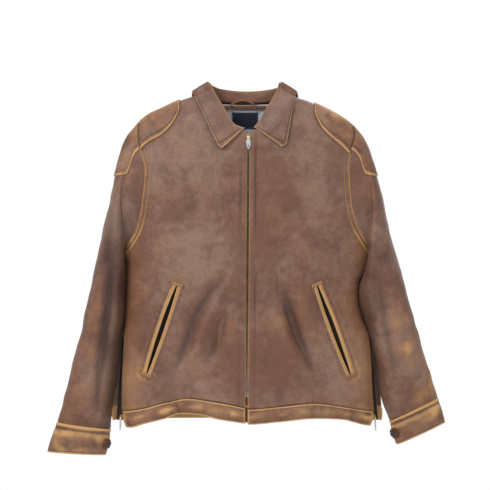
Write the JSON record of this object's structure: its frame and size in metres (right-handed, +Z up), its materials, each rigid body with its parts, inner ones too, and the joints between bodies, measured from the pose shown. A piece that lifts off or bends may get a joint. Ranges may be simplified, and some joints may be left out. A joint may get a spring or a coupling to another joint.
{
  "type": "leather riding jacket",
  "caption": "Zip-front leather riding jacket with a shirt collar, shoulder patches, slanted welt pockets, button cuffs and zipped side vents, held open as on a hanger.",
  "frame": {"origin": "middle of the neck opening at the height of the back neck seam, where a clothes hanger carries the jacket", "axes": "+X towards the wearer's left sleeve, +Y towards the back, +Z up; the front faces -Y"},
  "size_m": [0.8061, 0.1465, 0.756],
  "materials": {
    "leather": "semi-gloss pull-up leather, worn",
    "worn_leather": "rubbed leather, lighter at the edges",
    "welt": "rubbed piping leather",
    "lining": "plain woven, matt",
    "pocketing": "plain cotton, matt",
    "label": "woven, plain",
    "zip_tape": "woven tape",
    "brass": "aged, satin",
    "steel": "polished, worn",
    "button": "knotted leather, waxed"
  },
  "bodies": {
    "torso": {"back_hem_band": "worn_leather", "back_lining": "lining", "back_neck_facing": "leather", "back_panel": "leather", "collar_back_fall": "leather", "collar_stand": "leather", "front_zip_bottom_stop": "brass", "left_front_facing": "leather", "left_front_hem_band": "worn_leather", "left_front_lining": "lining", "left_front_panel": "leather", "left_front_zip_tape": "zip_tape", "left_front_zip_teeth": "brass", "left_pocket_bag": "pocketing", "left_pocket_inner_welt": "welt", "left_pocket_outer_welt": "welt", "left_shoulder_patch": "worn_leather", "left_side_zip_tape": "zip_tape", "left_side_zip_teeth": "brass", "left_sleeve_bend": "leather", "left_sleeve_lining_upper": "lining", "left_sleeve_patch": "worn_leather", "left_sleeve_upper": "leather", "neck_label": "label", "right_front_facing": "leather", "right_front_hem_band": "worn_leather", "right_front_lining": "lining", "right_front_panel": "leather", "right_front_zip_tape": "zip_tape", "right_front_zip_teeth": "brass", "right_pocket_bag": "pocketing", "right_pocket_inner_welt": "welt", "right_pocket_outer_welt": "welt", "right_shoulder_patch": "worn_leather", "right_side_zip_tape": "zip_tape", "right_side_zip_teeth": "brass", "right_sleeve_bend": "leather", "right_sleeve_lining_upper": "lining", "right_sleeve_patch": "worn_leather", "right_sleeve_upper": "leather"},
    "front_pull": {"front_zip_pull": "steel"},
    "front_slider": {"front_zip_slider": "brass"},
    "loop": {"hanging_loop": "leather"},
    "left_wing": {"left_collar_wing": "leather"},
    "left_sleeve": {"left_cuff": "worn_leather", "left_sleeve_lining_lower": "lining", "left_sleeve_lower": "leather"},
    "left_button": {"left_cuff_button": "button"},
    "left_side_pull": {"left_side_zip_pull": "steel"},
    "left_side_slider": {"left_side_zip_slider": "brass"},
    "right_wing": {"right_collar_wing": "leather"},
    "right_sleeve": {"right_cuff": "worn_leather", "right_sleeve_lining_lower": "lining", "right_sleeve_lower": "leather"},
    "right_button": {"right_cuff_button": "button"},
    "right_side_pull": {"right_side_zip_pull": "steel"},
    "right_side_slider": {"right_side_zip_slider": "brass"}
  },
  "joints": [
    {"name": "front_zip_slide", "type": "slide", "parent": "torso", "child": "front_slider", "axis": [-0.0073, -0.0357, -0.9993], "range_m": [0, 0.52]},
    {"name": "front_pull_swing", "type": "hinge", "parent": "front_slider", "child": "front_pull", "pos_m": [0.00295, -0.06167, -0.07088], "axis": [-1, 0, 0], "range_deg": [0, 150]},
    {"name": "right_side_zip_slide", "type": "slide", "parent": "torso", "child": "right_side_slider", "axis": [0.0195, 0.0007, 0.9998], "range_m": [0, 0.13]},
    {"name": "right_side_pull_swing", "type": "hinge", "parent": "right_side_slider", "child": "right_side_pull", "pos_m": [-0.25515, -0.00696, -0.63594], "axis": [-0.8974, 0.4409, 0.0172], "range_deg": [0, 110]},
    {"name": "right_sleeve_swing", "type": "hinge", "parent": "torso", "child": "right_sleeve", "pos_m": [-0.278, 0.001, -0.325], "axis": [0, 1, 0], "range_deg": [0, 30], "deforming": ["right_sleeve_bend"]},
    {"name": "right_cuff_button_turn", "type": "hinge", "parent": "right_sleeve", "child": "right_button", "pos_m": [-0.28648, -0.00567, -0.68647], "axis": [0.6663, -0.7182, -0.2005], "range_deg": [-45, 45]},
    {"name": "right_collar_wing_lift", "type": "hinge", "parent": "torso", "child": "right_wing", "pos_m": [-0.0455, -0.042, -0.0045], "axis": [-0.5624, 0.4199, 0.7123], "range_deg": [0, 60]},
    {"name": "left_side_zip_slide", "type": "slide", "parent": "torso", "child": "left_side_slider", "axis": [-0.0555, 0.0019, 0.9985], "range_m": [0, 0.13]},
    {"name": "left_side_pull_swing", "type": "hinge", "parent": "left_side_slider", "child": "left_side_pull", "pos_m": [0.25789, -0.00675, -0.63581], "axis": [-0.8634, -0.5024, -0.0471], "range_deg": [0, 110]},
    {"name": "left_sleeve_swing", "type": "hinge", "parent": "torso", "child": "left_sleeve", "pos_m": [0.277, 0.001, -0.325], "axis": [0, -1, 0], "range_deg": [0, 30], "deforming": ["left_sleeve_bend"]},
    {"name": "left_cuff_button_turn", "type": "hinge", "parent": "left_sleeve", "child": "left_button", "pos_m": [0.30068, -0.00567, -0.6648], "axis": [-0.6798, -0.7021, -0.212], "range_deg": [-45, 45]},
    {"name": "left_collar_wing_lift", "type": "hinge", "parent": "torso", "child": "left_wing", "pos_m": [0.045, -0.042, -0.0045], "axis": [-0.4528, -0.4528, -0.7681], "range_deg": [0, 60]},
    {"name": "hanging_loop_flip", "type": "hinge", "parent": "torso", "child": "loop", "pos_m": [-0.009, 0.0362, -0.011], "axis": [1, 0, 0], "range_deg": [0, 110]}
  ]
}
